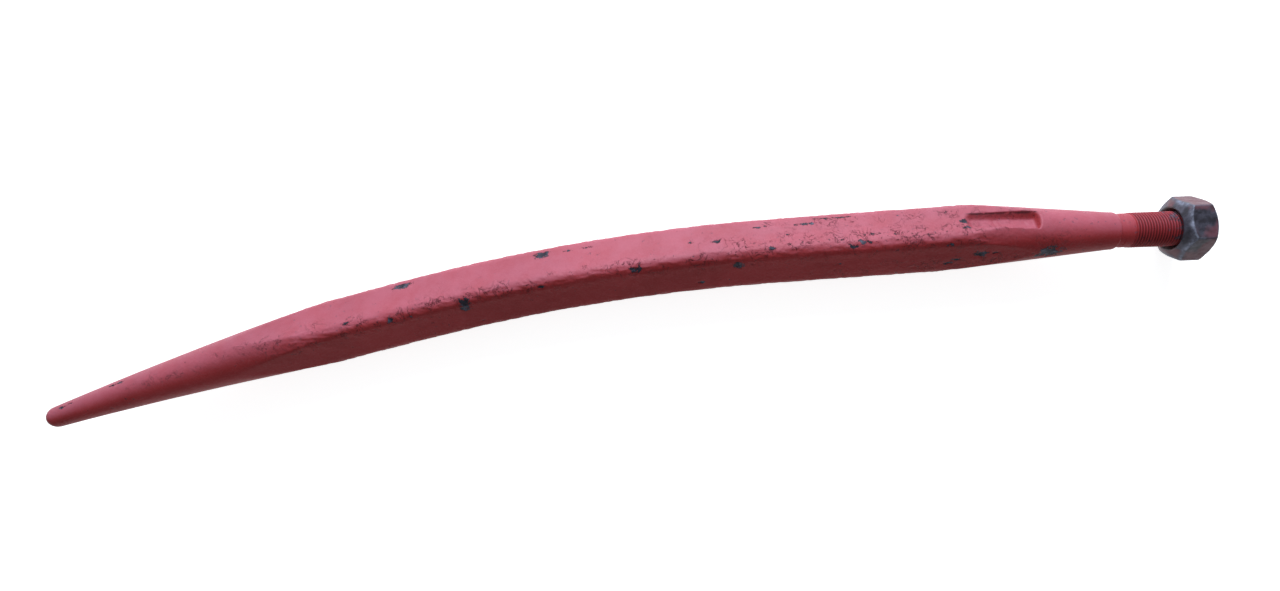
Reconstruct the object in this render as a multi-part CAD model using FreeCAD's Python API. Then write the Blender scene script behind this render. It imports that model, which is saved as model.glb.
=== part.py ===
import FreeCAD, Part
import math
import os

# Curved bale spear with its lock nut. Millimetres.
# It is drawn with X along the stud, X = 0 at the shoulder and the point towards -X.
# The bend lies in the XY plane. The last step moves the origin to the middle of the base.

Vec = FreeCAD.Vector

# Square bar, seen on its corner: the bend runs through the section's diagonal
bar_side = 30.0
bar_corner_radius = 6.0

# Centre line, from the shoulder towards the point: length, or radius and turn in degrees
bend_steps = [
    {"length": 43.8},
    {"radius": 1155.0, "turn": 2.05},
    {"length": 101.0},
    {"radius": 1190.0, "turn": 9.97},
    {"radius": 3000.0, "turn": 4.35},
    {"length": 23.8},
]

# Round point, forged as a long cone that ends in a blunt dome with a small worn flat
tip_dome_radius = 6.6
tip_worn_depth = 0.5
tip_growth = 0.0668
tip_cone_length = 235.0
tip_station_step = 23.5

# Round taper behind the shoulder, which wedges into the carrier's socket
taper_small_radius = 10.4
taper_growth = 0.0965
taper_length = 125.0
shoulder_round = 1.3

# Keyway pressed into one flat of the taper
keyway_start = 44.2
keyway_length = 43.6
keyway_width = 11.5
keyway_offset = 2.0
keyway_depth_front = 4.8
keyway_depth_back = 3.2
keyway_lip = 0.5
keyway_slant = 1.8
keyway_ramp_front = 1.8
keyway_ramp_back = 4.5

# Stud
undercut_radius = 9.45
undercut_length = 2.8
neck_radius = 9.65
neck_length = 7.8
thread_radius = 9.9
stud_length = 47.3
stud_chamfer = 1.5

# Hexagon nut, screwed on to the end of the stud
nut_start = 30.9
nut_length = 18.0
nut_across_flats = 32.4
nut_face_radius = 12.6
nut_chamfer_length = 4.1
nut_bore_radius = 9.95
nut_sink_radius = 11.9
nut_sink_depth = 2.4
nut_edge_round = 1.0
nut_turn = 43.0

envelope_size = 900.0


def point_along(distance):
    # Point and heading of the centre line at a distance from the shoulder
    x, y, heading = 0.0, 0.0, math.pi
    left = distance
    for step in bend_steps:
        if "length" in step:
            run = min(left, step["length"])
            x += math.cos(heading) * run
            y += math.sin(heading) * run
        else:
            full = step["radius"] * math.radians(step["turn"])
            run = min(left, full)
            turn = run / step["radius"]
            x += step["radius"] * (math.sin(heading + turn) - math.sin(heading))
            y -= step["radius"] * (math.cos(heading + turn) - math.cos(heading))
            heading += turn
        left -= run
        if left <= 0.0:
            break
    return Vec(x, y, 0), heading


def step_length(step):
    if "length" in step:
        return step["length"]
    return step["radius"] * math.radians(step["turn"])


def centre_line():
    edges = []
    start = 0.0
    for step in bend_steps:
        end = start + step_length(step)
        first = point_along(start)[0]
        last = point_along(end)[0]
        if "length" in step:
            edges.append(Part.makeLine(first, last))
        else:
            middle = point_along((start + end) / 2.0)[0]
            edges.append(Part.Arc(first, middle, last).toShape())
        start = end
    return Part.Wire(edges)


def bar_section():
    # Rounded square in the YZ plane, standing on its corner
    half = bar_side / 2.0
    inner = half - bar_corner_radius
    edges = []
    for quarter in range(4):
        start = math.radians(90.0 * quarter)
        spin = math.radians(90.0 * quarter + 45.0)
        centre_y = inner * math.sqrt(2.0) * math.cos(start)
        centre_z = inner * math.sqrt(2.0) * math.sin(start)
        corner = []
        for swing in (-45.0, 0.0, 45.0):
            angle = start + math.radians(swing)
            corner.append(Vec(0, centre_y + bar_corner_radius * math.cos(angle),
                              centre_z + bar_corner_radius * math.sin(angle)))
        edges.append(Part.Arc(corner[0], corner[1], corner[2]).toShape())
        flat = Vec(0, -math.sin(spin), math.cos(spin)) * (2.0 * inner)
        edges.append(Part.makeLine(corner[2], corner[2] + flat))
    return Part.Wire(edges)


def point_envelope(total):
    # Long round cone that follows the centre line, with the dome at its small end
    rings = []
    distance = 0.0
    while distance < tip_cone_length + 0.1:
        along = total - tip_dome_radius + tip_worn_depth - distance
        centre, heading = point_along(along)
        normal = Vec(math.cos(heading), math.sin(heading), 0)
        radius = tip_dome_radius + tip_growth * distance
        rings.append(Part.Wire([Part.makeCircle(radius, centre, normal)]))
        distance += tip_station_step
    cone = Part.makeLoft(rings, True, False)
    dome_centre = point_along(total - tip_dome_radius + tip_worn_depth)[0]
    dome = Part.makeSphere(tip_dome_radius, dome_centre)
    clear_x = point_along(total - tip_cone_length + 2.0)[0].x
    corner = Vec(clear_x, -envelope_size / 2.0, -envelope_size / 2.0)
    clear = Part.makeBox(envelope_size, envelope_size, envelope_size, corner)
    return cone.fuse([dome, clear])


def taper_envelope():
    # Cone on the stud's axis, and free space beyond it for the rest of the bar
    large = taper_small_radius + taper_growth * taper_length
    cone = Part.makeCone(taper_small_radius, large, taper_length, Vec(0, 0, 0), Vec(-1, 0, 0))
    rim = [edge for edge in cone.Edges
           if edge.BoundBox.XLength < 0.01 and abs(edge.BoundBox.Center.x) < 0.01]
    cone = cone.makeFillet(shoulder_round, rim)
    corner = Vec(-envelope_size - taper_length + 10.0, -envelope_size / 2.0, -envelope_size / 2.0)
    clear = Part.makeBox(envelope_size, envelope_size, envelope_size, corner)
    return cone.fuse(clear)


def keyway_cutter():
    # Drawn flat with its floor at Z = 0, then tilted and set on the upper flat
    height = 20.0
    half = keyway_width / 2.0
    lip = keyway_depth_front - keyway_lip
    section = [
        Vec(0, -half, 0),
        Vec(0, half - keyway_slant, 0),
        Vec(0, half, lip),
        Vec(0, half, height),
        Vec(0, -half, height),
        Vec(0, -half, 0),
    ]
    slot = Part.Face(Part.makePolygon(section)).extrude(Vec(-keyway_length, 0, 0))
    side = [
        Vec(-keyway_ramp_front, -height, 0),
        Vec(0, -height, keyway_depth_front),
        Vec(0, -height, height),
        Vec(-keyway_length, -height, height),
        Vec(-keyway_length, -height, keyway_depth_front),
        Vec(-keyway_length + keyway_ramp_back, -height, 0),
        Vec(-keyway_ramp_front, -height, 0),
    ]
    slot = slot.common(Part.Face(Part.makePolygon(side)).extrude(Vec(0, 2.0 * height, 0)))
    slope = math.degrees(math.atan((keyway_depth_front - keyway_depth_back) / keyway_length))
    slot.rotate(Vec(0, 0, 0), Vec(0, 1, 0), slope)
    slot.translate(Vec(-keyway_start, -keyway_offset, bar_side / 2.0 - keyway_depth_front))
    slot.rotate(Vec(0, 0, 0), Vec(1, 0, 0), -45.0)
    return slot


def stud():
    outline = [
        Vec(-6.0, 0, 0),
        Vec(-6.0, undercut_radius, 0),
        Vec(undercut_length, undercut_radius, 0),
        Vec(undercut_length + 0.2, neck_radius, 0),
        Vec(neck_length, neck_radius, 0),
        Vec(neck_length + 0.3, thread_radius, 0),
        Vec(stud_length - stud_chamfer, thread_radius, 0),
        Vec(stud_length, thread_radius - stud_chamfer, 0),
        Vec(stud_length, 0, 0),
        Vec(-6.0, 0, 0),
    ]
    face = Part.Face(Part.makePolygon(outline))
    return face.revolve(Vec(0, 0, 0), Vec(1, 0, 0), 360.0)


def spear_shape():
    total = sum(step_length(step) for step in bend_steps)
    bar = centre_line().makePipeShell([bar_section()], True, False)
    body = bar.common(point_envelope(total))
    body = body.common(taper_envelope())
    body = body.cut(keyway_cutter())
    return body.fuse(stud()).removeSplitter()


def nut_shape():
    corner_radius = nut_across_flats / math.sqrt(3.0)
    points = []
    for index in range(7):
        angle = math.radians(nut_turn + 60.0 * index)
        points.append(Vec(0, corner_radius * math.sin(angle), corner_radius * math.cos(angle)))
    prism = Part.Face(Part.makePolygon(points)).extrude(Vec(nut_length, 0, 0))
    edges = [edge for edge in prism.Edges if edge.BoundBox.XLength > nut_length - 0.1]
    prism = prism.makeFillet(nut_edge_round, edges)
    slope = (corner_radius - nut_face_radius) / nut_chamfer_length
    wide = nut_face_radius + slope * nut_length / 2.0
    outline = [
        Vec(nut_sink_depth, nut_bore_radius, 0),
        Vec(0, nut_sink_radius, 0),
        Vec(0, nut_face_radius, 0),
        Vec(nut_length / 2.0, wide, 0),
        Vec(nut_length, nut_face_radius, 0),
        Vec(nut_length, nut_sink_radius, 0),
        Vec(nut_length - nut_sink_depth, nut_bore_radius, 0),
        Vec(nut_sink_depth, nut_bore_radius, 0),
    ]
    face = Part.Face(Part.makePolygon(outline))
    round_body = face.revolve(Vec(0, 0, 0), Vec(1, 0, 0), 360.0)
    nut = prism.common(round_body)
    nut.translate(Vec(nut_start, 0, 0))
    return nut


spear = spear_shape()
nut = nut_shape()
box = Part.makeCompound([spear, nut]).optimalBoundingBox(False)
shift = Vec(-box.Center.x, -box.Center.y, -box.ZMin)
print("shoulder at", shift.x, shift.y, shift.z, "size", box.XLength, box.YLength, box.ZLength)

os.makedirs("parts", exist_ok=True)
for name, shape in (("spear", spear), ("hex_nut", nut)):
    shape.translate(shift)
    print(name, shape.ShapeType, len(shape.Solids), shape.isValid(), round(shape.Volume))
    shape.exportStep("parts/" + name + ".step")
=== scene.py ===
import bpy
import math
import numpy as np
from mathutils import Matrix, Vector


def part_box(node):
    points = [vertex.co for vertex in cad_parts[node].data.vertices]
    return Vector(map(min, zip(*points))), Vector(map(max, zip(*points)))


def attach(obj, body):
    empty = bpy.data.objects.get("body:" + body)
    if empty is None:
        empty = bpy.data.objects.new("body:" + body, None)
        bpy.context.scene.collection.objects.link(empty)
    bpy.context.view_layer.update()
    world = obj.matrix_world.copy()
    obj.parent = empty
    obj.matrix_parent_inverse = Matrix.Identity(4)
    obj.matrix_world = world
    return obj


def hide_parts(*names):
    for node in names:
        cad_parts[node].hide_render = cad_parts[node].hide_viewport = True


# Bale spear: a painted steel forging with its lock nut. Metres, in the part's own frame.

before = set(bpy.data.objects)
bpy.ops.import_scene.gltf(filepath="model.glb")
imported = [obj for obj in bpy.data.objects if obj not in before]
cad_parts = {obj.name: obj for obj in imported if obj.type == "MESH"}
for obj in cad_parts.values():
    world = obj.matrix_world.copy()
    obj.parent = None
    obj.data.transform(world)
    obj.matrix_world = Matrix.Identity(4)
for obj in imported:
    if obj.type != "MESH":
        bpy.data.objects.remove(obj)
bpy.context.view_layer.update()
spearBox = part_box("spear")
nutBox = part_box("hex_nut")
mm = 0.001


def latticeValue(ix, iy, iz, seed):
    # Repeatable pseudo-random value from 0 to 1 at each lattice point
    mixed = (ix * 374761393 + iy * 668265263 + iz * 2147483647 + seed * 974634777) & 0xFFFFFFFF
    mixed = ((mixed ^ (mixed >> 13)) * 1274126177) & 0xFFFFFFFF
    mixed = (mixed ^ (mixed >> 16)) & 0xFFFFFF
    return mixed / float(0xFFFFFF)


def smoothNoise(points, size, seed=0):
    # Value noise from 0 to 1; size is the grain in the units of points, one number or three
    scaled = points / np.asarray(size, dtype=float)
    cell = np.floor(scaled).astype(np.int64)
    part = scaled - cell
    part = part * part * (3.0 - 2.0 * part)
    total = 0.0
    for dx in (0, 1):
        for dy in (0, 1):
            for dz in (0, 1):
                weight = (np.where(dx, part[..., 0], 1 - part[..., 0])
                          * np.where(dy, part[..., 1], 1 - part[..., 1])
                          * np.where(dz, part[..., 2], 1 - part[..., 2]))
                corner = (cell[..., 0] + dx, cell[..., 1] + dy, cell[..., 2] + dz)
                total = total + weight * latticeValue(*corner, seed)
    return total


def layeredNoise(points, size, seed=0, layers=3):
    total = 0.0
    weight = 1.0
    summed = 0.0
    for layer in range(layers):
        grain = np.asarray(size, dtype=float) / 2 ** layer
        total = total + weight * smoothNoise(points, grain, seed + layer * 17)
        summed += weight
        weight *= 0.5
    return total / summed


def ramp(value, start, end):
    t = np.clip((value - start) / (end - start), 0.0, 1.0)
    return t * t * (3.0 - 2.0 * t)


def gridMesh(name, points, closeStart=False, closeEnd=False):
    # Rings of points joined into a tube; the ends can be closed with a fan
    rows, columns = points.shape[:2]
    verts = [tuple(p) for p in points.reshape(-1, 3)]
    faces = []
    for row in range(rows - 1):
        for col in range(columns):
            after = (col + 1) % columns
            faces.append((row * columns + col, row * columns + after,
                          (row + 1) * columns + after, (row + 1) * columns + col))
    if closeStart:
        verts.append(tuple(points[0].mean(axis=0)))
        hub = len(verts) - 1
        faces.extend((hub, (col + 1) % columns, col) for col in range(columns))
    if closeEnd:
        verts.append(tuple(points[-1].mean(axis=0)))
        hub = len(verts) - 1
        base = (rows - 1) * columns
        faces.extend((hub, base + col, base + (col + 1) % columns) for col in range(columns))
    mesh = bpy.data.meshes.new(name)
    mesh.from_pydata(verts, [], faces)
    mesh.validate()
    mesh.polygons.foreach_set("use_smooth", [True] * len(mesh.polygons))
    piece = bpy.data.objects.new(name, mesh)
    bpy.context.collection.objects.link(piece)
    return piece


def addMask(piece, name, values):
    # Stores one number per vertex, for the materials to read
    extra = len(piece.data.vertices) - values.size
    flat = np.concatenate([values.reshape(-1), np.zeros(extra)]).astype(np.float32)
    layer = piece.data.attributes.new(name, "FLOAT", "POINT")
    layer.data.foreach_set("value", flat)


spearShape = {
    "barSide": 30.0,
    "cornerRadius": 6.0,
    "bend": [("line", 43.8), ("arc", 1155.0, 2.05), ("line", 101.0),
             ("arc", 1190.0, 9.97), ("arc", 3000.0, 4.35), ("line", 23.8)],
    "tipRadius": 6.6,
    "tipWorn": 0.5,
    "tipGrowth": 0.0668,
    "taperRadius": 10.4,
    "taperGrowth": 0.0965,
    "shoulderRound": 1.3,
    "studLength": 47.3,
    "inset": 0.02,              # keeps the painted skin just inside the solid
    "taperReach": 118.0,        # the taper shapes the bar this far in front of the shoulder
    "pointFlat": 2.5,           # radius of the first ring, which closes the point
}
paintRelief = {
    "forgeWave": 0.16,          # mm, broad hammer waviness
    "fineWave": 0.06,
    "cornerWrinkle": 0.272,     # mm, sagged and cracked paint on the corners
    "chipDepth": 0.28,
}
keyway = {
    "start": 44.2,
    "length": 43.6,
    "width": 11.5,
    "offset": 2.0,
    "depthFront": 4.8,
    "depthBack": 3.2,
    "lip": 0.5,
    "slant": 3.0,
    "rampFront": 3.4,
    "rampBack": 7.0,
    "roundFront": 0.8,
    "roundBack": 2.4,
    "wallLead": 0.9,            # mm, the wall's curve starts outside the lip
    "wallTail": 0.5,            # mm, and ends past the slanted part
    "floorRough": 0.9,
    "nickWidth": 0.5,
    "nickLean": 0.22,           # the tool marks lean by this much
    "nicks": [(0.14, 0.42), (0.24, 0.16), (0.43, 0.36), (0.50, 0.30), (0.66, 0.18), (0.82, 0.25)],
}
# Girth of the seen half in mm at these distances from the point, to turn places into mm
frontGirth = {"at": [0, 180, 560, 640], "mm": [22.0, 50.0, 52.0, 34.0], "onBar": 50.0}
# Chips in the paint: distance from the point, place across (0 upper edge, 0.5 front corner,
# 1 lower edge), length and width, all but the place in mm, and depth from 0 to 1
paintChips = [
    (15, 0.28, 4.0, 1.6, 0.8), (21, 0.26, 3.0, 1.4, 0.6),
    (51, 0.22, 5.0, 1.6, 0.7), (56, 0.22, 4.0, 1.4, 0.8),
    (198, 0.06, 6.0, 1.6, 0.8), (205, 0.44, 5.0, 1.6, 0.7),
    (232, 0.53, 3.2, 2.2, 0.9), (240, 0.10, 8.0, 4.0, 0.9), (246, 0.06, 5.0, 2.0, 0.7),
    (244, 0.55, 3.0, 2.0, 0.7), (276, 0.56, 5.0, 5.0, 1.0), (281, 0.88, 4.0, 1.6, 0.6),
    (291, 0.05, 7.0, 2.4, 0.6), (323, 0.11, 6.5, 3.2, 1.0), (321, 0.54, 4.5, 1.8, 0.7),
    (338, 0.12, 6.0, 1.8, 0.6), (349, 0.12, 6.0, 1.6, 0.6), (366, 0.06, 5.0, 1.6, 0.6),
    (376, 0.52, 6.0, 3.0, 0.8), (408, 0.28, 4.0, 2.0, 0.6), (412, 0.84, 3.4, 2.2, 0.8),
    (422, 0.30, 5.0, 2.2, 0.8), (433, 0.62, 4.6, 3.2, 0.9), (446, 0.14, 7.0, 1.6, 0.7),
    (452, 0.08, 5.0, 1.4, 0.6), (452, 0.46, 4.0, 2.4, 0.7), (462, 0.28, 5.0, 2.0, 0.6),
    (472, 0.14, 9.0, 1.8, 0.8), (482, 0.08, 7.0, 1.4, 0.8), (494, 0.08, 8.0, 1.6, 0.8),
    (489, 0.72, 3.0, 1.8, 0.6), (496, 0.50, 6.0, 2.0, 0.7), (502, 0.46, 6.5, 2.2, 0.7),
    (507, 0.37, 6.5, 2.4, 0.7), (520, 0.36, 4.0, 1.8, 0.5), (549, 0.55, 5.0, 2.4, 0.6),
    (551, 0.84, 4.0, 2.4, 0.8), (554, 0.78, 5.0, 2.0, 0.7), (559, 0.28, 4.0, 3.0, 0.9),
    (560, 0.38, 8.0, 1.6, 0.7), (568, 0.71, 6.0, 3.2, 0.9), (575, 0.71, 5.0, 2.2, 0.6),
    (605, 0.76, 10.0, 5.5, 1.0), (567, 0.02, 6.0, 1.6, 0.7),
]

# Stretches with scattered small chips, and with cracked paint: from, to, place across,
# half width in mm and strength
chipStretches = [
    (150, 330, 0.46, 3.0, -0.28), (330, 470, 0.46, 4.0, -0.16), (450, 560, 0.42, 6.0, -0.08),
    (440, 560, 0.12, 4.0, -0.16), (180, 440, 0.06, 3.0, -0.22), (540, 600, 0.84, 5.0, -0.14),
    (300, 560, 0.93, 2.5, -0.20), (20, 130, 0.30, 4.0, -0.28),
]
crackStretches = [
    (60, 200, 0.42, 5.0, 0.7), (150, 420, 0.50, 5.0, 1.0), (400, 580, 0.45, 7.5, 1.0),
    (440, 600, 0.15, 5.0, 0.5), (480, 600, 0.82, 6.0, 0.6), (580, 625, 0.55, 8.0, 0.4),
]


def stepLength(step):
    return step[1] if step[0] == "line" else step[1] * math.radians(step[2])


def pathPoint(distance):
    # Centre line from the shoulder towards the point, in mm
    x, y, heading, left = 0.0, 0.0, math.pi, distance
    for step in spearShape["bend"]:
        run = min(left, stepLength(step))
        if step[0] == "line":
            x += math.cos(heading) * run
            y += math.sin(heading) * run
        else:
            turn = run / step[1]
            x += step[1] * (math.sin(heading + turn) - math.sin(heading))
            y -= step[1] * (math.cos(heading + turn) - math.cos(heading))
            heading += turn
        left -= run
        if left <= 0.0:
            break
    return x, y, heading


totalLength = sum(stepLength(step) for step in spearShape["bend"])
shoulder = np.array([
    spearBox[1][0] / mm - spearShape["studLength"],
    (nutBox[0][1] + nutBox[1][1]) / 2 / mm,
    (nutBox[0][2] + nutBox[1][2]) / 2 / mm,
])


def squareRadius(angle):
    # Distance from the axis to the rounded square that stands on its corner
    half = spearShape["barSide"] / 2
    inner = half - spearShape["cornerRadius"]
    swing = np.mod(angle, math.pi / 2) - math.pi / 4
    toFlat = half / np.cos(swing)
    dot = inner * np.cos(swing) + inner * np.abs(np.sin(swing))
    toArc = dot + np.sqrt(np.maximum(spearShape["cornerRadius"] ** 2 - 2 * inner ** 2 + dot ** 2, 0))
    return np.where(half * np.abs(np.tan(swing)) <= inner, toFlat, toArc)


def softMin(a, b, width):
    # Lower of two values with a rounded meeting line
    mix = np.clip(0.5 + 0.5 * (b - a) / width, 0, 1)
    return b + (a - b) * mix - width * mix * (1 - mix)


def columnAngles():
    # Even steps round the section, with extra columns at the keyway's two walls
    half = spearShape["barSide"] / 2
    inner = half - spearShape["cornerRadius"]
    low = keyway["offset"] - keyway["width"] / 2
    high = keyway["offset"] + keyway["width"] / 2
    angles = []
    for quarter in range(4):
        across = list(np.linspace(-inner, inner, 30))
        if quarter == 0:
            walls = [high, high - 0.06, high - 0.4, low - 0.02, low + 0.02, low + 0.4, low + 1.1]
            across = [u for u in across if min(abs(u - w) for w in walls) > 0.18] + walls
            across.sort()
        for u in across:
            angles.append(quarter * math.pi / 2 + math.pi / 4 + math.atan2(u, half))
        for turn in np.linspace(0, math.pi / 2, 14)[1:-1]:
            u = inner + spearShape["cornerRadius"] * math.sin(turn)
            h = inner + spearShape["cornerRadius"] * math.cos(turn)
            angles.append(quarter * math.pi / 2 + math.pi / 4 + math.atan2(u, h))
    return np.array(angles)


def rowDistances():
    # Distances from the point, closer at the dome, the keyway and the shoulder
    end = totalLength
    keyLow = end - keyway["start"] - keyway["length"] - 1.5
    keyHigh = end - keyway["start"] + 1.5
    parts = [
        np.array([0.0, 0.03, 0.15, 0.35, 0.65, 1.05, 1.55, 2.15, 2.85, 3.65, 4.55, 5.5, 6.5]),
        np.arange(7.6, keyLow, 1.25),
        np.arange(keyLow, keyHigh, 0.62),
        np.arange(keyHigh, end - 2.2, 1.25),
        end - np.array([1.6, 1.3, 0.95, 0.65, 0.4, 0.22, 0.1, 0.03]),
    ]
    rows = np.concatenate(parts)
    return np.unique(np.round(rows, 4))


print("shaping the spear")
rows = rowDistances()
angles = columnAngles()
centres = np.zeros((len(rows), 3))
sideways = np.zeros((len(rows), 3))
for index, distance in enumerate(rows):
    x, y, heading = pathPoint(totalLength - distance)
    centres[index] = (x, y, 0.0)
    sideways[index] = (math.sin(heading), -math.cos(heading), 0.0)
upward = np.array([0.0, 0.0, 1.0])
# Angle 0 is the outer side of the bend and 90 degrees is up
directions = (np.cos(angles)[None, :, None] * sideways[:, None, :]
              + np.sin(angles)[None, :, None] * upward[None, None, :])


def skinRadius():
    fromTip = rows[:, None]
    square = np.broadcast_to(squareRadius(angles)[None, :], (len(rows), len(angles)))
    base = spearShape["tipRadius"] - spearShape["tipWorn"]
    dome = np.sqrt(np.maximum(spearShape["tipRadius"] ** 2 - np.clip(base - fromTip, 0, None) ** 2, 0))
    cone = np.where(fromTip < base, dome, spearShape["tipRadius"]
                    + spearShape["tipGrowth"] * (fromTip - base))
    radius = softMin(square, cone, 0.5)
    # The taper is round about the stud's axis, so its reach is found along each ray
    reach = radius.copy()
    for _ in range(12):
        point = centres[:, None, :] + directions * reach[..., None]
        limit = spearShape["taperRadius"] - spearShape["taperGrowth"] * point[..., 0]
        toShoulder = np.clip(-point[..., 0], 0, spearShape["shoulderRound"])
        edge = spearShape["shoulderRound"]
        limit = limit - edge + np.sqrt(np.maximum(edge ** 2 - (edge - toShoulder) ** 2, 0))
        over = np.maximum(np.hypot(point[..., 1], point[..., 2]) - limit, 0)
        reach = reach - np.where(point[..., 0] > -spearShape["taperReach"], over, 0)
    return softMin(radius, reach + 0.05, 0.2)


radius = skinRadius()
radius[0] = np.minimum(radius[0], spearShape["pointFlat"])
skin = centres[:, None, :] + directions * radius[..., None]


def cornerNearness():
    # 1 on the bar's rounded corners, 0 on its flats and on the round ends
    turn = np.abs(np.mod(angles + math.pi / 4, math.pi / 2) - math.pi / 4)
    near = 1.0 - ramp(turn, math.radians(5), math.radians(17))
    fromTip = rows[:, None]
    onBar = ramp(fromTip, 130, 200) * (1 - ramp(fromTip, totalLength - 95, totalLength - 55))
    return near[None, :] * onBar


def acrossFront():
    # 0 at the upper edge, 0.5 at the front corner and 1 at the lower edge, as seen from above
    return (angles / math.pi)[None, :]


surfacePoints = skin.copy()
wrinkleZone = cornerNearness()
wave = layeredNoise(surfacePoints, (26.0, 11.0, 11.0), 3, 3)
fine = layeredNoise(surfacePoints, (3.4, 2.4, 2.4), 21, 3)
ridges = 1.0 - np.abs(2.0 * layeredNoise(surfacePoints, (6.5, 2.6, 2.6), 41, 3) - 1.0)
wrinkle = ramp(ridges, 0.62, 0.97) * wrinkleZone

across = acrossFront()


def stretchBand(start, end, side, width, fade):
    # 1 along the middle of a stretch, fading out over its ends and to both sides
    along = ramp(rows, start - fade, start + fade) * (1 - ramp(rows, end - fade, end + fade))
    acrossMm = (across - side) * frontGirth["onBar"]
    return along[:, None] * np.exp(-(acrossMm / width) ** 2)


def chipMask():
    # Above 0 where the paint has come off, -1 far from any chip
    near = np.full(skin.shape[:2], -1.0)
    for place, side, length, width, depth in paintChips:
        acrossMm = (across - side) * np.interp(place, frontGirth["at"], frontGirth["mm"])
        distance = np.hypot((rows[:, None] - place) / (length / 2), acrossMm / (width / 2))
        near = np.maximum(near, np.clip(depth * 1.1 - distance * 0.62, -1, 1))
    for start, end, side, width, level in chipStretches:
        near = np.maximum(near, -1 + (1 + level) * stretchBand(start, end, side, width, 12))
    return near


def crackMask():
    mask = np.zeros(skin.shape[:2])
    for start, end, side, width, level in crackStretches:
        mask = np.maximum(mask, level * stretchBand(start, end, side, width, 20))
    return mask


chipNear = chipMask()
cracked = crackMask()
warp = layeredNoise(surfacePoints, (3.0, 2.4, 2.4), 71, 3) - 0.5
chipDepth = ramp(chipNear + warp * 1.6, 0.25, 0.6)

relief = (paintRelief["forgeWave"] * wave + paintRelief["fineWave"] * fine
          + paintRelief["cornerWrinkle"] * wrinkle + paintRelief["chipDepth"] * chipDepth)
fadeTip = ramp(rows, 0.0, 2.0)[:, None]
nearShoulder = 1 - ramp(rows, totalLength - 3.0, totalLength - 1.0)[:, None]
relief = relief * fadeTip * (0.25 + 0.75 * nearShoulder) + spearShape["inset"]
skin = centres[:, None, :] + directions * (radius - relief)[..., None]


def pressKeyway(points):
    # Lowers the skin along the flat's normal to a slot with one slanted wall and ramped ends, and gives
    # a painted shadow line under the slot's upper lip
    k = keyway
    normal = np.array([0.0, math.sqrt(0.5), math.sqrt(0.5)])
    lateral = np.array([0.0, -math.sqrt(0.5), math.sqrt(0.5)])
    u = points @ lateral - k["offset"]
    h = points @ normal
    x = points[..., 0]
    half = k["width"] / 2
    top = spearShape["barSide"] / 2
    share = np.clip((x + k["start"] + k["length"]) / k["length"], 0, 1)
    depth = k["depthBack"] + (k["depthFront"] - k["depthBack"]) * share
    fromUpper = u + half
    wallEnd = k["slant"] + k["wallTail"]
    wall = k["lip"] + (depth - k["lip"]) * ramp(fromUpper, -k["wallLead"], wallEnd) * 1.02
    slant = np.where(fromUpper < 0, 0, wall)
    slant = np.where(fromUpper > wallEnd, depth, np.minimum(slant, depth))
    lower = np.clip((half - u) / 0.06, 0, 1)
    rounding = np.clip(u / half, -1, 1) ** 4
    fromFront = -k["start"] - x - k["roundFront"] * rounding
    fromBack = x + k["start"] + k["length"] - k["roundBack"] * rounding
    ends = ramp(fromFront, 0, k["rampFront"]) * ramp(fromBack, 0, k["rampBack"])
    marks = np.zeros_like(x)
    for place, tall in k["nicks"]:
        line = x - (-k["start"] - k["length"] * (1 - place)) - k["nickLean"] * u
        marks = marks + tall * np.exp(-(line / k["nickWidth"]) ** 2)
    onFloor = ramp(fromUpper, k["slant"], k["slant"] + 1.0)
    rough = k["floorRough"] * (layeredNoise(points, (2.4, 2.4, 2.4), 91, 3) - 0.5)
    target = top - slant * ends * lower + (rough * ends - marks * ends) * onFloor * lower
    inside = (fromUpper > 0) & (u < half) & (fromFront > 0) & (fromBack > 0) & (h > 4.0) & (x < 0)
    drop = np.where(inside, np.maximum(h - target, 0), 0)
    # Painted shadow: a dark line just under the upper lip, where the overhang throws shade
    lipShadowLine = np.exp(-((fromUpper - 0.25) / 0.45) ** 2) * ramp(fromBack, 0.2, 4.0)
    lipShadowLine = np.where(inside, lipShadowLine, 0.0)
    return points - normal * drop[..., None], lipShadowLine


skin, lipShadowLine = pressKeyway(skin)
spearBody = gridMesh("spearBody", (skin + shoulder) * mm, closeStart=True)
addMask(spearBody, "chipNear", chipNear)
addMask(spearBody, "cracked", cracked)
addMask(spearBody, "lip", lipShadowLine)
print("spear skin", len(spearBody.data.polygons), "faces")


studShape = {
    "undercutRadius": 9.43,
    "undercutLength": 2.8,
    "neckRadius": 9.62,
    "neckLength": 6.8,
    "crestRadius": 9.88,
    "pitch": 1.5,
    "threadDepth": 0.78,
    "runIn": 1.2,               # mm over which the thread reaches its depth
    "score": 3.0,               # mm, where a thin line runs round the neck
    "scoreDepth": 0.16,
    "lumps": 0.08,
    "endGap": 0.02,
    "chamfer": 1.5,
    "columns": 72,
}


def studRadius(x, turn):
    # Plain neck, then a right-handed thread with a narrow crest, then the end chamfer
    s = studShape
    phase = np.mod(x / s["pitch"] - turn / (2 * math.pi), 1.0)
    flank = np.clip((np.abs(phase - 0.5) * 2 - 0.12) / 0.70, 0, 1)
    thread = s["crestRadius"] - s["threadDepth"] * ramp(flank, 0, 1)
    runIn = ramp(x, s["neckLength"], s["neckLength"] + s["runIn"])
    neck = np.where(x < s["undercutLength"], s["undercutRadius"],
                    s["undercutRadius"] + (s["neckRadius"] - s["undercutRadius"])
                    * ramp(x, s["undercutLength"], s["undercutLength"] + 0.3))
    neck = neck - s["scoreDepth"] * np.exp(-((x - s["score"]) / 0.22) ** 2)
    body = neck + (thread - neck) * runIn
    end = spearShape["studLength"] - s["endGap"]
    cap = s["crestRadius"] - np.clip(x - (end - s["chamfer"]), 0, s["chamfer"])
    return np.minimum(body, cap)


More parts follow.
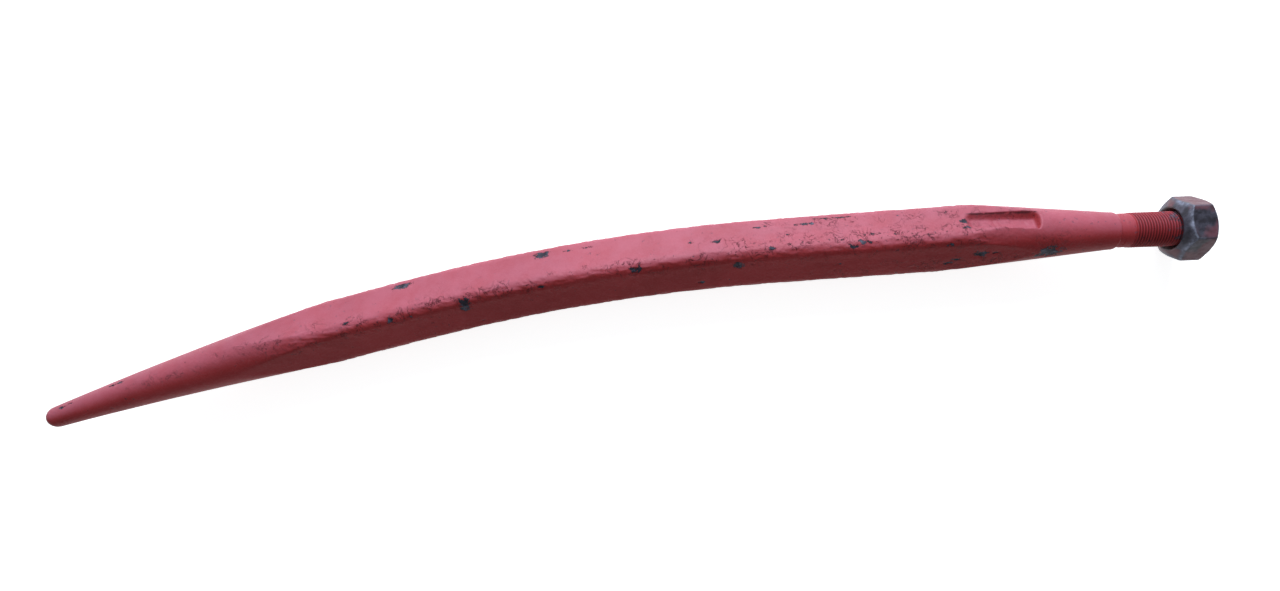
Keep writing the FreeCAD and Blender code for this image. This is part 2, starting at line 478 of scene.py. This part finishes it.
def cutThread():
    studEnd = spearShape["studLength"] - studShape["endGap"]
    studX = np.concatenate([np.arange(-0.6, 7.4, 0.32), np.arange(7.4, studEnd, 0.1875), [studEnd]])
    studTurn = np.linspace(0, 2 * math.pi, studShape["columns"], endpoint=False)
    studR = studRadius(studX[:, None], studTurn[None, :])
    studPoints = np.zeros(studR.shape + (3,))
    studPoints[..., 0] = studX[:, None]
    studPoints[..., 1] = studR * np.cos(studTurn)
    studPoints[..., 2] = studR * np.sin(studTurn)
    lumps = layeredNoise(studPoints, (5.0, 5.0, 5.0), 131, 3)
    studR = studR - studShape["lumps"] * lumps
    studPoints[..., 1] = studR * np.cos(studTurn)
    studPoints[..., 2] = studR * np.sin(studTurn)
    stud = gridMesh("spearStud", (studPoints + shoulder) * mm, closeEnd=True)
    # Painted shade: a mask that darkens the thread's grooves by their depth
    grooveShade = np.clip((studShape["crestRadius"] - studR) / studShape["threadDepth"], 0, 1)
    grooveShade = grooveShade * ramp(studX, 7.8, 9.0)[:, None]
    addMask(stud, "grooveShade", grooveShade)
    nearNut = np.broadcast_to(ramp(studX, 20.0, 33.0)[:, None], studR.shape)
    addMask(stud, "nearNut", nearNut.copy())
    return stud


print("cutting the thread")
stud = cutThread()


def closeShoulder():
    # The shoulder's ring, from the taper's rounded edge in to the neck
    lastRing = skin[-1]
    ringSteps = [0.0, 0.35, 0.7, 1.0]
    ringPoints = []
    for step in ringSteps:
        flatRing = lastRing.copy()
        distance = np.hypot(flatRing[:, 1], flatRing[:, 2])
        scale = (distance + (studShape["undercutRadius"] - 0.6 - distance) * step) / distance
        flatRing[:, 1] *= scale
        flatRing[:, 2] *= scale
        flatRing[:, 0] = lastRing[:, 0].max() - 0.001
        ringPoints.append(flatRing)
    ringPoints[0] = lastRing
    shoulderRing = gridMesh("spearShoulder", (np.array(ringPoints) + shoulder) * mm)
    for name in ("chipNear", "cracked", "lip"):
        level = -1.0 if name == "chipNear" else 0.0
        addMask(shoulderRing, name, np.full((len(ringSteps), len(angles)), level))
    return shoulderRing


shoulderRing = closeShoulder()


nutShape = {
    "start": 30.9,
    "length": 18.0,
    "acrossFlats": 32.4,
    "faceRadius": 12.6,
    "chamferLength": 4.1,
    "boreRadius": 9.95,
    "sinkRadius": 11.9,
    "sinkDepth": 2.4,
    "edgeRound": 1.0,
    "turn": 43.0,
    "dents": 0.10,
    "pits": 0.12,
    "edgeZone": 5.4,            # mm at each end with closer rings
    "inset": 0.02,
}


def nutSkin():
    s = nutShape
    half = s["acrossFlats"] / 2
    cornerRadius = half / math.cos(math.pi / 6)
    slope = (cornerRadius - s["faceRadius"]) / s["chamferLength"]
    turns = []
    for face in range(6):
        for u in np.linspace(-1, 1, 31)[:-1]:
            bent = math.copysign(abs(u) ** 0.8, u)
            turns.append(math.radians(60 * face + 30 * bent + 30))
    turns = np.array(turns)
    zone = s["edgeZone"]
    along = np.unique(np.concatenate([
        np.linspace(s["inset"], zone, 26),
        np.linspace(zone, s["length"] - zone, 12),
        np.linspace(s["length"] - zone, s["length"] - s["inset"], 26),
    ]))
    swing = np.mod(turns, math.pi / 3) - math.pi / 6
    flat = half / np.cos(swing)
    flat = softMin(flat, np.full_like(flat, cornerRadius - 0.155 * s["edgeRound"]), 0.5)
    x = along[:, None]
    fromEnd = np.minimum(x, s["length"] - x)
    cone = s["faceRadius"] + slope * fromEnd
    body = softMin(np.broadcast_to(flat[None, :], (len(along), len(turns))),
                   np.broadcast_to(cone, (len(along), len(turns))), 0.55)
    gap = flat[None, :] - cone
    edge = np.where(gap > 0, np.exp(-(gap / 1.5) ** 2), np.exp(-(gap / 0.6) ** 2))
    # Bright wear follows the chamfer's edge and, more faintly, the corners
    spine = np.exp(-((np.abs(swing) - math.pi / 6) / 0.035) ** 2)[None, :]
    spine = spine * ramp(-gap, -0.3, 0.3) * 0.6
    return turns, along, body, np.clip(edge + spine, 0, 1)


def shapeNut():
    turns, along, nutRadius, nutWear = nutSkin()
    faceSteps = np.linspace(nutShape["faceRadius"], nutShape["sinkRadius"], 4)
    sinkSteps = np.linspace(0, 1, 7)
    ringX, ringR = [], []
    for step in reversed(sinkSteps):
        ringX.append(nutShape["sinkDepth"] * step)
        ringR.append(nutShape["sinkRadius"] + (nutShape["boreRadius"] - nutShape["sinkRadius"]) * step)
    for r in faceSteps[::-1][1:]:
        ringX.append(0.0)
        ringR.append(r)
    frontX = np.array(ringX)
    frontR = np.array(ringR)
    allX = np.concatenate([frontX, along, nutShape["length"] - frontX[::-1]])
    allR = np.concatenate([np.repeat(frontR[:, None], len(turns), 1), nutRadius,
                           np.repeat(frontR[::-1][:, None], len(turns), 1)])
    unworn = np.zeros((len(frontX), len(turns)))
    allWear = np.concatenate([unworn, nutWear, unworn])
    insideMask = np.zeros_like(allWear)
    insideMask[:len(sinkSteps)] = 1.0
    insideMask[-len(sinkSteps):] = 1.0
    # Angle 0 is straight up and turns towards +Y, with the first corner at the nut's turn
    nutTurn = turns + math.radians(nutShape["turn"])
    nutPoints = np.zeros(allR.shape + (3,))
    nutPoints[..., 0] = allX[:, None] + nutShape["start"]
    nutPoints[..., 1] = allR * np.sin(nutTurn)[None, :]
    nutPoints[..., 2] = allR * np.cos(nutTurn)[None, :]
    batter = layeredNoise(nutPoints, (4.5, 4.5, 4.5), 171, 3)
    pits = ramp(layeredNoise(nutPoints, (2.2, 2.2, 2.2), 191, 2), 0.6, 0.85)
    outside = 1.0 - insideMask
    shrink = nutShape["dents"] * batter + nutShape["pits"] * pits + nutShape["dents"] * allWear * batter
    shrink = shrink * outside + nutShape["inset"]
    nutPoints[..., 1] -= shrink * np.sin(nutTurn)[None, :]
    nutPoints[..., 2] -= shrink * np.cos(nutTurn)[None, :]
    # The bore joins the two countersinks, so the tube is closed on itself
    nutPoints = np.concatenate([nutPoints, nutPoints[:1]])
    allWear = np.concatenate([allWear, allWear[:1]])
    insideMask = np.concatenate([insideMask, insideMask[:1]])
    nut = gridMesh("nut", (nutPoints + shoulder) * mm)
    addMask(nut, "wear", allWear)
    # The countersinks and the bore carry a mask for painted shade
    addMask(nut, "boreShade", insideMask)
    return nut


print("shaping the nut")
nut = shapeNut()


def makeGroup(name, inputs, outputs):
    group = bpy.data.node_groups.new(name, "ShaderNodeTree")
    for label, kind, value in inputs:
        socket = group.interface.new_socket(label, in_out="INPUT", socket_type=kind)
        if value is not None:
            socket.default_value = value
    for label, kind in outputs:
        group.interface.new_socket(label, in_out="OUTPUT", socket_type=kind)
    return group, group.nodes.new("NodeGroupInput"), group.nodes.new("NodeGroupOutput")


def mathNode(tree, operation, first, second=None, clamp=False):
    node = tree.nodes.new("ShaderNodeMath")
    node.operation = operation
    node.use_clamp = clamp
    for slot, value in ((0, first), (1, second)):
        if value is None:
            continue
        if isinstance(value, (int, float)):
            node.inputs[slot].default_value = value
        else:
            tree.links.new(value, node.inputs[slot])
    return node.outputs[0]


def times(tree, first, second, clamp=False):
    return mathNode(tree, "MULTIPLY", first, second, clamp)


def plus(tree, first, second):
    return mathNode(tree, "ADD", first, second)


def minus(tree, first, second):
    return mathNode(tree, "SUBTRACT", first, second)


def rangeNode(tree, value, start, end, low=0.0, high=1.0):
    node = tree.nodes.new("ShaderNodeMapRange")
    node.interpolation_type = "SMOOTHSTEP"
    tree.links.new(value, node.inputs["Value"])
    node.inputs["From Min"].default_value = start
    node.inputs["From Max"].default_value = end
    node.inputs["To Min"].default_value = low
    node.inputs["To Max"].default_value = high
    return node.outputs["Result"]


def noiseNode(tree, vector, scale, detail=3.0, rough=0.55, distortion=0.0):
    node = tree.nodes.new("ShaderNodeTexNoise")
    node.inputs["Scale"].default_value = scale
    node.inputs["Detail"].default_value = detail
    node.inputs["Roughness"].default_value = rough
    node.inputs["Distortion"].default_value = distortion
    tree.links.new(vector, node.inputs["Vector"])
    return node.outputs["Fac"]


def spreadNoise(tree, vector, scale, detail, rough, spread):
    # Noise about zero, for ragged outlines
    return times(tree, minus(tree, noiseNode(tree, vector, scale, detail, rough), 0.5), spread)


def mixColour(tree, share, first, second, blend="MIX"):
    node = tree.nodes.new("ShaderNodeMix")
    node.data_type = "RGBA"
    node.blend_type = blend
    if isinstance(share, (int, float)):
        node.inputs["Factor"].default_value = share
    else:
        tree.links.new(share, node.inputs["Factor"])
    for slot, value in (("A", first), ("B", second)):
        socket = [s for s in node.inputs if s.name == slot and s.type == "RGBA"][0]
        if isinstance(value, (tuple, list)):
            socket.default_value = tuple(value) + (1.0,)
        else:
            tree.links.new(value, socket)
    return [s for s in node.outputs if s.type == "RGBA"][0]


def attributeNode(tree, name):
    node = tree.nodes.new("ShaderNodeAttribute")
    node.attribute_name = name
    return node.outputs["Fac"]


finish = {
    "paintRoughness": 0.47,
    "steelRoughness": 0.52,
    "dust": 0.12,
    "paintGloss": 0.13,
    # pale pink film on the sides facing the key lamp: painted sheen and dust
    "dustAndSheenColour": (0.47, 0.175, 0.25),
    "dustAndSheenSide": 0.50,
}
paintColours = {
    "deep": (0.290, 0.024, 0.027),
    "warm": (0.350, 0.032, 0.037),
    "scuff": (0.40, 0.052, 0.062),
    "dust": (0.42, 0.12, 0.14),
    "pinhole": (0.080, 0.018, 0.026),
    "chipRim": (0.11, 0.014, 0.020),
    "crack": (0.060, 0.010, 0.016),
    # painted shadow under the keyway's upper lip
    "lip": (0.030, 0.008, 0.012),
    # painted shade in the thread's grooves
    "grooveShade": (0.040, 0.007, 0.010),
}
steelColours = {
    "dark": (0.024, 0.022, 0.032),
    "pale": (0.062, 0.060, 0.086),
    "fleck": (0.18, 0.19, 0.26),
}
nutColours = {
    "film": (0.17, 0.045, 0.060),
    "wear": (0.30, 0.33, 0.44),
    # painted shade in the countersinks and the bore
    "boreShade": (0.045, 0.012, 0.014),
}


def buildSteelGroup():
    # Dark blue-grey steel with paler flecks
    group, source, result = makeGroup(
        "bareSteel",
        [("Vector", "NodeSocketVector", None), ("Bright", "NodeSocketFloat", 0.3)],
        [("Color", "NodeSocketColor")])
    vector = source.outputs["Vector"]
    cloud = noiseNode(group, vector, 260.0, 4.0, 0.6)
    grit = noiseNode(group, vector, 1500.0, 3.0, 0.7)
    mottle = plus(group, times(group, cloud, 0.55), times(group, grit, 0.45))
    fleck = rangeNode(group, mottle, 0.50, 0.66)
    fleck = times(group, fleck, source.outputs["Bright"], True)
    shade = rangeNode(group, cloud, 0.35, 0.65)
    tone = mixColour(group, shade, steelColours["dark"], steelColours["pale"])
    tone = mixColour(group, fleck, tone, steelColours["fleck"])
    group.links.new(tone, result.inputs["Color"])
    return group


def buildPaintGroup():
    # Thick red paint: broad shifts of tone, fine dust and pinholes
    group, source, result = makeGroup(
        "redPaint",
        [("Vector", "NodeSocketVector", None), ("Dust", "NodeSocketFloat", 0.3)],
        [("Color", "NodeSocketColor"), ("Height", "NodeSocketFloat")])
    vector = source.outputs["Vector"]
    broad = noiseNode(group, vector, 22.0, 3.0, 0.55)
    middle = noiseNode(group, vector, 130.0, 4.0, 0.6)
    fineGrain = noiseNode(group, vector, 900.0, 3.0, 0.65)
    pinNoise = noiseNode(group, vector, 520.0, 2.0, 0.5)
    pinCloud = noiseNode(group, vector, 60.0, 2.0, 0.5)
    shade = rangeNode(group, broad, 0.32, 0.68)
    red = mixColour(group, shade, paintColours["deep"], paintColours["warm"])
    red = mixColour(group, rangeNode(group, middle, 0.45, 0.75, 0.0, 0.30), red, paintColours["scuff"])
    dust = times(group, rangeNode(group, fineGrain, 0.40, 0.72), source.outputs["Dust"], True)
    red = mixColour(group, dust, red, paintColours["dust"])
    pinPatch = rangeNode(group, pinCloud, 0.46, 0.60)
    pin = times(group, rangeNode(group, pinNoise, 0.655, 0.71), pinPatch, True)
    red = mixColour(group, times(group, pin, 0.75), red, paintColours["pinhole"])
    height = plus(group, times(group, fineGrain, 0.35), times(group, middle, 0.65))
    height = minus(group, height, times(group, pin, 0.8))
    group.links.new(red, result.inputs["Color"])
    group.links.new(height, result.inputs["Height"])
    return group


def placeGroup(tree, group, vector, **values):
    node = tree.nodes.new("ShaderNodeGroup")
    node.node_tree = group
    tree.links.new(vector, node.inputs["Vector"])
    for name, value in values.items():
        node.inputs[name].default_value = value
    return node


def newMaterial(name):
    material = bpy.data.materials.new(name)
    material.use_nodes = True
    tree = material.node_tree
    shader = tree.nodes["Principled BSDF"]
    coordinates = tree.nodes.new("ShaderNodeTexCoord")
    return material, tree, shader, coordinates.outputs["Object"]


def dustAndSheenSide(tree, colour, vector, share):
    # Painted sheen and pale dust: the outer and upper sides of the bow, which face the key lamp, are
    # lightened towards a pale pink film
    coordinates = tree.nodes.new("ShaderNodeTexCoord")
    facing = tree.nodes.new("ShaderNodeVectorMath")
    facing.operation = "DOT_PRODUCT"
    facing.inputs[1].default_value = (0.0, 0.80, 0.60)
    tree.links.new(coordinates.outputs["Normal"], facing.inputs[0])
    film = rangeNode(tree, facing.outputs["Value"], 0.30, 1.0, 0.0, share)
    cloud = rangeNode(tree, noiseNode(tree, vector, 75.0, 4.0, 0.6), 0.30, 0.70, 0.72, 1.0)
    return mixColour(tree, times(tree, film, cloud, True), colour, finish["dustAndSheenColour"])


def addBump(tree, shader, height, strength, distance):
    bump = tree.nodes.new("ShaderNodeBump")
    bump.inputs["Strength"].default_value = strength
    bump.inputs["Distance"].default_value = distance
    tree.links.new(height, bump.inputs["Height"])
    tree.links.new(bump.outputs["Normal"], shader.inputs["Normal"])


steelGroup = buildSteelGroup()
paintGroup = buildPaintGroup()


def paintedForging():
    material, tree, shader, vector = newMaterial("wornRedPaint")
    paint = placeGroup(tree, paintGroup, vector, Dust=finish["dust"])
    steel = placeGroup(tree, steelGroup, vector, Bright=0.5)
    ragged = spreadNoise(tree, vector, 430.0, 5.0, 0.70, 3.2)
    splinter = spreadNoise(tree, vector, 1300.0, 3.0, 0.6, 0.9)
    near = plus(tree, attributeNode(tree, "chipNear"), plus(tree, ragged, splinter))
    chip = rangeNode(tree, near, 0.30, 0.38)
    rim = times(tree, rangeNode(tree, near, 0.10, 0.32), 0.6)
    cracked = attributeNode(tree, "cracked")
    crackNoise = noiseNode(tree, vector, 150.0, 6.0, 0.62, 0.8)
    vein = mathNode(tree, "ABSOLUTE", minus(tree, crackNoise, 0.5))
    vein = rangeNode(tree, vein, 0.014, 0.003)
    gaps = rangeNode(tree, noiseNode(tree, vector, 90.0, 2.0, 0.5), 0.44, 0.56)
    crack = times(tree, times(tree, vein, gaps), cracked, True)
    # Painted sheen and dust: the sides facing the key lamp are lightened
    colour = dustAndSheenSide(tree, paint.outputs["Color"], vector, finish["dustAndSheenSide"])
    colour = mixColour(tree, rim, colour, paintColours["chipRim"])
    colour = mixColour(tree, times(tree, crack, 0.8), colour, paintColours["crack"])
    # Painted shadow under the keyway's upper lip, broken into gaps
    broken = rangeNode(tree, noiseNode(tree, vector, 240.0, 3.0, 0.6), 0.40, 0.52)
    lip = times(tree, times(tree, attributeNode(tree, "lip"), broken), 0.85, True)
    colour = mixColour(tree, chip, colour, steel.outputs["Color"])
    colour = mixColour(tree, lip, colour, paintColours["lip"])
    tree.links.new(colour, shader.inputs["Base Color"])
    rough = rangeNode(tree, chip, 0.0, 1.0, finish["paintRoughness"], finish["steelRoughness"])
    tree.links.new(rough, shader.inputs["Roughness"])
    tree.links.new(times(tree, chip, 0.12), shader.inputs["Metallic"])
    sag = noiseNode(tree, vector, 260.0, 4.0, 0.6)
    sag = times(tree, times(tree, sag, cracked), 1.6)
    height = minus(tree, times(tree, paint.outputs["Height"], 0.5),
                      times(tree, chip, 0.9))
    height = minus(tree, height, times(tree, crack, 0.7))
    height = plus(tree, height, sag)
    shader.inputs["Specular IOR Level"].default_value = finish["paintGloss"]
    addBump(tree, shader, height, 1.0, 0.00045)
    return material


def paintedThread():
    material, tree, shader, vector = newMaterial("paintedThread")
    paint = placeGroup(tree, paintGroup, vector, Dust=finish["dust"] * 0.6)
    steel = placeGroup(tree, steelGroup, vector, Bright=0.5)
    grooveShade = attributeNode(tree, "grooveShade")
    nearNut = attributeNode(tree, "nearNut")
    wear = noiseNode(tree, vector, 330.0, 4.0, 0.6)
    bare = rangeNode(tree, plus(tree, wear, times(tree, nearNut, 0.16)), 0.63, 0.73)
    bare = times(tree, bare, 0.8)
    # Painted sheen and dust: the sides facing the key lamp are lightened
    colour = dustAndSheenSide(tree, paint.outputs["Color"], vector, finish["dustAndSheenSide"] * 0.6)
    # Painted shade darkens the thread's grooves
    colour = mixColour(tree, times(tree, grooveShade, 0.72), colour, paintColours["grooveShade"])
    colour = mixColour(tree, bare, colour, steel.outputs["Color"])
    tree.links.new(colour, shader.inputs["Base Color"])
    shader.inputs["Roughness"].default_value = 0.5
    shader.inputs["Specular IOR Level"].default_value = finish["paintGloss"]
    addBump(tree, shader, paint.outputs["Height"], 0.4, 0.0003)
    return material


def wornNut():
    material, tree, shader, vector = newMaterial("wornDarkSteel")
    paint = placeGroup(tree, paintGroup, vector, Dust=0.5)
    steel = placeGroup(tree, steelGroup, vector, Bright=0.10)
    wear = attributeNode(tree, "wear")
    boreShade = attributeNode(tree, "boreShade")
    patch = noiseNode(tree, vector, 60.0, 3.0, 0.55)
    worn = noiseNode(tree, vector, 300.0, 4.0, 0.65)
    film = rangeNode(tree, plus(tree, patch, times(tree, worn, 0.12)), 0.50, 0.64, 0.0, 0.62)
    film = times(tree, film, minus(tree, 1.0, wear), True)
    rub = times(tree, rangeNode(tree, worn, 0.36, 0.70), rangeNode(tree, patch, 0.62, 0.40))
    bright = times(tree, wear, plus(tree, times(tree, rub, 0.9), 0.16), True)
    colour = mixColour(tree, film, steel.outputs["Color"], nutColours["film"])
    colour = mixColour(tree, bright, colour, nutColours["wear"])
    # Painted shade: the countersinks and the bore are darkened
    colour = mixColour(tree, boreShade, colour, nutColours["boreShade"])
    tree.links.new(colour, shader.inputs["Base Color"])
    metal = times(tree, minus(tree, 1.0, film), 0.35)
    metal = times(tree, metal, minus(tree, 1.0, boreShade))
    tree.links.new(metal, shader.inputs["Metallic"])
    rough = rangeNode(tree, worn, 0.35, 0.7, 0.40, 0.58)
    tree.links.new(rough, shader.inputs["Roughness"])
    addBump(tree, shader, plus(tree, worn, times(tree, film, 0.3)), 0.45, 0.0003)
    return material


print("mixing the finishes")
forgingPaint = paintedForging()
threadPaint = paintedThread()
nutSteel = wornNut()
dressed = (
    (spearBody, forgingPaint, "paint"),
    (shoulderRing, forgingPaint, "paint"),
    (stud, threadPaint, "paint"),
    (nut, nutSteel, "nut_steel"),
)
for piece, material, slotName in dressed:
    piece.data.materials.append(material)
    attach(piece, "root")
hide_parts("spear")
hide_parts("hex_nut")


studio = {
    "floorColour": (0.80, 0.80, 0.80),
    "floorGlow": 0.80,
    "keyPower": 34.0,
    "keySize": 1.1,
    "keyPlace": (0.10, 1.36, 0.62),
    "keyColour": (0.86, 0.92, 1.0),
    "fillPower": 1.0,
    "fillSize": 1.2,
    "fillPlace": (-0.4, -1.0, 1.0),
    "worldStrength": 0.25,
}
camera = {
    "place": (0.0452, 0.05123, 0.43552),
    "turn": (-5.5, 2.49, -2.16),      # degrees
    "lens": 20.14,
}


def whiteForCamera(tree, shaderOut, strength):
    # Camera, mirror and glass rays see a plain white surface that still keeps its shadow
    path = tree.nodes.new("ShaderNodeLightPath")
    seen = path.outputs["Is Camera Ray"]
    for ray in ("Is Glossy Ray", "Is Transmission Ray"):
        seen = mathNode(tree, "MAXIMUM", seen, path.outputs[ray])
    glow = tree.nodes.new("ShaderNodeEmission")
    glow.inputs["Color"].default_value = (1.0, 1.0, 1.0, 1.0)
    tree.links.new(times(tree, seen, strength), glow.inputs["Strength"])
    both = tree.nodes.new("ShaderNodeAddShader")
    tree.links.new(shaderOut, both.inputs[0])
    tree.links.new(glow.outputs[0], both.inputs[1])
    return both.outputs[0]


def buildFloor():
    bpy.ops.mesh.primitive_plane_add(size=8.0, location=(0, 0, 0))
    floor = bpy.context.object
    floor.name = "floor"
    material = bpy.data.materials.new("paleFloor")
    material.use_nodes = True
    tree = material.node_tree
    shader = tree.nodes["Principled BSDF"]
    shader.inputs["Base Color"].default_value = studio["floorColour"] + (1.0,)
    shader.inputs["Roughness"].default_value = 0.9
    output = tree.nodes["Material Output"]
    surface = whiteForCamera(tree, shader.outputs[0], studio["floorGlow"])
    tree.links.new(surface, output.inputs["Surface"])
    floor.data.materials.append(material)


def addLamp(name, place, size, power, colour):
    data = bpy.data.lights.new(name, "AREA")
    data.shape = "DISK"
    data.size = size
    data.energy = power
    data.color = colour
    lamp = bpy.data.objects.new(name, data)
    lamp.location = place
    aim = -np.array(place)
    lamp.rotation_euler = Vector(aim).to_track_quat("-Z", "Y").to_euler()
    bpy.context.collection.objects.link(lamp)


def buildWorld():
    world = bpy.data.worlds.new("studioAir")
    bpy.context.scene.world = world
    world.use_nodes = True
    tree = world.node_tree
    back = tree.nodes["Background"]
    back.inputs["Color"].default_value = (0.94, 0.97, 1.0, 1.0)
    path = tree.nodes.new("ShaderNodeLightPath")
    node = tree.nodes.new("ShaderNodeMapRange")
    tree.links.new(path.outputs["Is Camera Ray"], node.inputs["Value"])
    node.inputs["To Min"].default_value = studio["worldStrength"]
    node.inputs["To Max"].default_value = 1.0
    tree.links.new(node.outputs["Result"], back.inputs["Strength"])


def addCamera():
    data = bpy.data.cameras.new("camera")
    data.lens = camera["lens"]
    data.sensor_width = 36.0
    data.clip_start = 0.01
    data.clip_end = 50.0
    seen = bpy.data.objects.new("camera", data)
    seen.location = camera["place"]
    seen.rotation_euler = [math.radians(a) for a in camera["turn"]]
    bpy.context.collection.objects.link(seen)
    bpy.context.scene.camera = seen


print("setting the stage")
buildFloor()
addLamp("keyLamp", studio["keyPlace"], studio["keySize"], studio["keyPower"], studio["keyColour"])
addLamp("fillLamp", studio["fillPlace"], studio["fillSize"], studio["fillPower"], (1.0, 0.98, 0.96))
buildWorld()
addCamera()
bpy.context.scene.view_settings.view_transform = "Standard"
